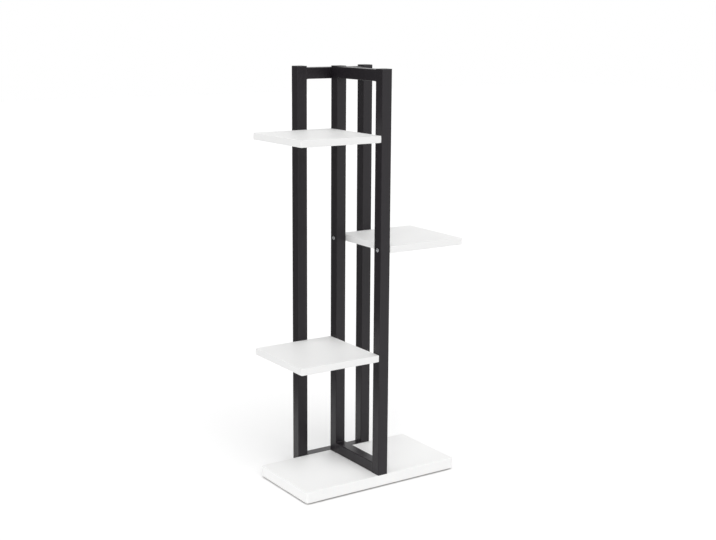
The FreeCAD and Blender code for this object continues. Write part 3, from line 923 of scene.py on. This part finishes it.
class STEP_SHELF_OT_bolts(bpy.types.Operator):
    """The bolts under the base and the nuts that they go into inside the bottom rail"""

    bl_idname = "step_shelf.bolts"
    bl_label = "Bolts and nuts"

    def execute(self, context):
        forms = context.scene.step_shelf_forms
        low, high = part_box("base_bolts")
        reach = high.z - low.z - forms.bolt_head_height
        bolt = headed_screw(forms.bolt_radius, forms.bolt_core, forms.bolt_pitch, reach,
                            forms.bolt_pitch, forms.bolt_head, forms.bolt_head_height,
                            forms.recess_depth)
        over = Matrix.Rotation(math.pi, 4, "X")
        shells = [placed(bolt, Matrix.Translation((x, y, low.z)) @ over) for x, y in bolt_places()]
        piece = new_piece("base_bolts_threaded", shells, "zinc_plate")
        smooth(piece, degrees=40.0)
        dress(piece, "base_bolts")
        low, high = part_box("weld_nuts")
        shape = nut(forms.nut_flats, forms.nut_height, forms.bolt_radius + forms.nut_fit)
        shells = [placed(shape, Matrix.Translation((x, y, low.z))) for x, y in bolt_places()]
        piece = new_piece("weld_nuts_chamfered", shells, "zinc_plate")
        smooth(piece)
        dress(piece, "weld_nuts")
        return {"FINISHED"}


class STEP_SHELF_OT_stage(bpy.types.Operator):
    """The camera, a white floor that keeps the shadow, soft lamps and a white surround"""

    bl_idname = "step_shelf.stage"
    bl_label = "Stage"

    def execute(self, context):
        stage = context.scene.step_shelf_stage
        self.add_floor(stage)
        self.add_surround(context.scene, stage)
        self.add_card(stage)
        self.add_lamps(context.scene)
        self.add_camera(context.scene, stage)
        context.scene.view_settings.view_transform = "Standard"
        return {"FINISHED"}

    def add_sheet(self, name, corners, material):
        """One flat face of the stage."""
        mesh = bpy.data.meshes.new(name)
        mesh.from_pydata(corners, [], [(0, 1, 2, 3)])
        mesh.materials.append(material)
        sheet = bpy.data.objects.new(name, mesh)
        bpy.context.scene.collection.objects.link(sheet)
        return sheet

    def add_floor(self, stage):
        """A large plane that is whiter to the camera and in reflections than as a light."""
        material, tree, _ = new_finish("stage_floor")
        plain = add_node(tree, "ShaderNodeBsdfDiffuse", None, {"Color": (*stage.floor, 1.0)})
        white = add_node(tree, "ShaderNodeBsdfDiffuse", None, {"Color": (*stage.floor_seen, 1.0)})
        lift = add_node(tree, "ShaderNodeEmission", None, {"Strength": stage.floor_lift})
        lifted = add_node(tree, "ShaderNodeAddShader", None, [white, lift])
        is_seen = light_path(tree, "Is Camera Ray") + light_path(tree, "Is Glossy Ray")
        surface = add_node(tree, "ShaderNodeMixShader", None, [is_seen, plain, lifted])
        add_node(tree, "ShaderNodeOutputMaterial", None, {"Surface": surface})
        half = stage.floor_size / 2
        corners = [(-half, -half, 0), (half, -half, 0), (half, half, 0), (-half, half, 0)]
        self.add_sheet("floor", corners, material)

    def add_surround(self, scene, stage):
        """A world that is white to the camera and in reflections, and dimmer as a light."""
        world = bpy.data.worlds.new("surround")
        scene.world = world
        world.use_nodes = True
        tree = world.node_tree
        tree.nodes.clear()
        is_seen = light_path(tree, "Is Camera Ray") + light_path(tree, "Is Glossy Ray")
        is_seen = is_seen + light_path(tree, "Is Transmission Ray")
        strength = stage.sky_fill + (1.0 - stage.sky_fill) * is_seen
        inputs = {"Color": (1.0, 1.0, 1.0, 1.0), "Strength": strength}
        sky = add_node(tree, "ShaderNodeBackground", None, inputs)
        add_node(tree, "ShaderNodeOutputWorld", None, {"Surface": sky})

    def add_card(self, stage):
        """A dark card behind the shelf on the left, which only reflections see.

        It darkens the left sides of the upper tubes, as the dark end of a studio does.
        """
        material, tree, _ = new_finish("stage_card")
        grey = add_node(tree, "ShaderNodeEmission", None, {"Strength": stage.card_shade})
        add_node(tree, "ShaderNodeOutputMaterial", None, {"Surface": grey})
        way = Vector(stage.card_way)
        along = Vector((way.y, -way.x, 0.0))
        left = way * stage.card_distance - along * stage.card_left
        right = way * stage.card_distance + along * stage.card_right
        high = Vector((0.0, 0.0, stage.card_height))
        card = self.add_sheet("card", [left, right, right + high, left + high], material)
        for ray in ("camera", "diffuse", "shadow", "transmission", "volume_scatter"):
            setattr(card, f"visible_{ray}", False)

    def add_lamps(self, scene):
        """Broad soft lamps: strength, width in degrees from the shelf, and where they shine from."""
        lamps = (
            ("key_lamp", 1.36, 55.0, (-0.3, -1.0, 1.1)),
            ("side_lamp", 0.74, 55.0, (-0.9, 0.4, 0.5)),
            ("fill_lamp", 0.65, 60.0, (1.0, 0.3, 0.6)),
        )
        for name, strength, width, source in lamps:
            data = bpy.data.lights.new(name, "SUN")
            data.energy = strength
            data.angle = math.radians(width)
            lamp = bpy.data.objects.new(name, data)
            lamp.matrix_world = facing(source, source)
            scene.collection.objects.link(lamp)

    def add_camera(self, scene, stage):
        """A camera turned by yaw, pitch and roll, with the frame's focal length."""
        data = bpy.data.cameras.new("camera")
        data.lens = stage.focal_pixels / stage.frame_pixels * data.sensor_width
        yaw, pitch, roll = stage.camera_yaw, stage.camera_pitch, stage.camera_roll
        ahead = Vector((math.sin(yaw) * math.cos(pitch), math.cos(yaw) * math.cos(pitch),
                        math.sin(pitch)))
        level = Vector((math.cos(yaw), -math.sin(yaw), 0.0))
        above = level.cross(ahead)
        right = level * math.cos(roll) + above * math.sin(roll)
        up = above * math.cos(roll) - level * math.sin(roll)
        turn = Matrix((right, up, -ahead)).transposed().to_4x4()
        camera = bpy.data.objects.new("camera", data)
        camera.matrix_world = Matrix.Translation(Vector(stage.camera_place)) @ turn
        scene.collection.objects.link(camera)
        scene.camera = camera


class VIEW3D_PT_step_shelf(bpy.types.Panel):
    """Lists the steps and the sizes of the step shelf."""

    bl_label = "Step Shelf"
    bl_space_type = "VIEW_3D"
    bl_region_type = "UI"
    bl_category = "Step Shelf"

    def draw(self, context):
        for step in steps:
            self.layout.operator(step.bl_idname)
        for name, group in groups:
            column = self.layout.column(align=True)
            for setting in group.__annotations__:
                column.prop(getattr(context.scene, name), setting)


groups = (
    ("step_shelf_forms", StepShelfForms),
    ("step_shelf_finishes", StepShelfFinishes),
    ("step_shelf_stage", StepShelfStage),
)
steps = (
    STEP_SHELF_OT_boards,
    STEP_SHELF_OT_tubes,
    STEP_SHELF_OT_welds,
    STEP_SHELF_OT_plugs,
    STEP_SHELF_OT_pads,
    STEP_SHELF_OT_screws,
    STEP_SHELF_OT_bolts,
    STEP_SHELF_OT_stage,
)


def register():
    """Makes the settings, the steps and the panel known."""
    for name, group in groups:
        bpy.utils.register_class(group)
        setattr(bpy.types.Scene, name, PointerProperty(type=group))
    for step in steps:
        bpy.utils.register_class(step)
    bpy.utils.register_class(VIEW3D_PT_step_shelf)


def unregister():
    """Takes the panel, the steps and the settings away again."""
    bpy.utils.unregister_class(VIEW3D_PT_step_shelf)
    for step in reversed(steps):
        bpy.utils.unregister_class(step)
    for name, group in reversed(groups):
        delattr(bpy.types.Scene, name)
        bpy.utils.unregister_class(group)


def main():
    """Builds the shelf and its stage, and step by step."""
    register()
    for step in steps:
        family, name = step.bl_idname.split(".")
        getattr(getattr(bpy.ops, family), name)()


if __name__ == "__main__":
    main()
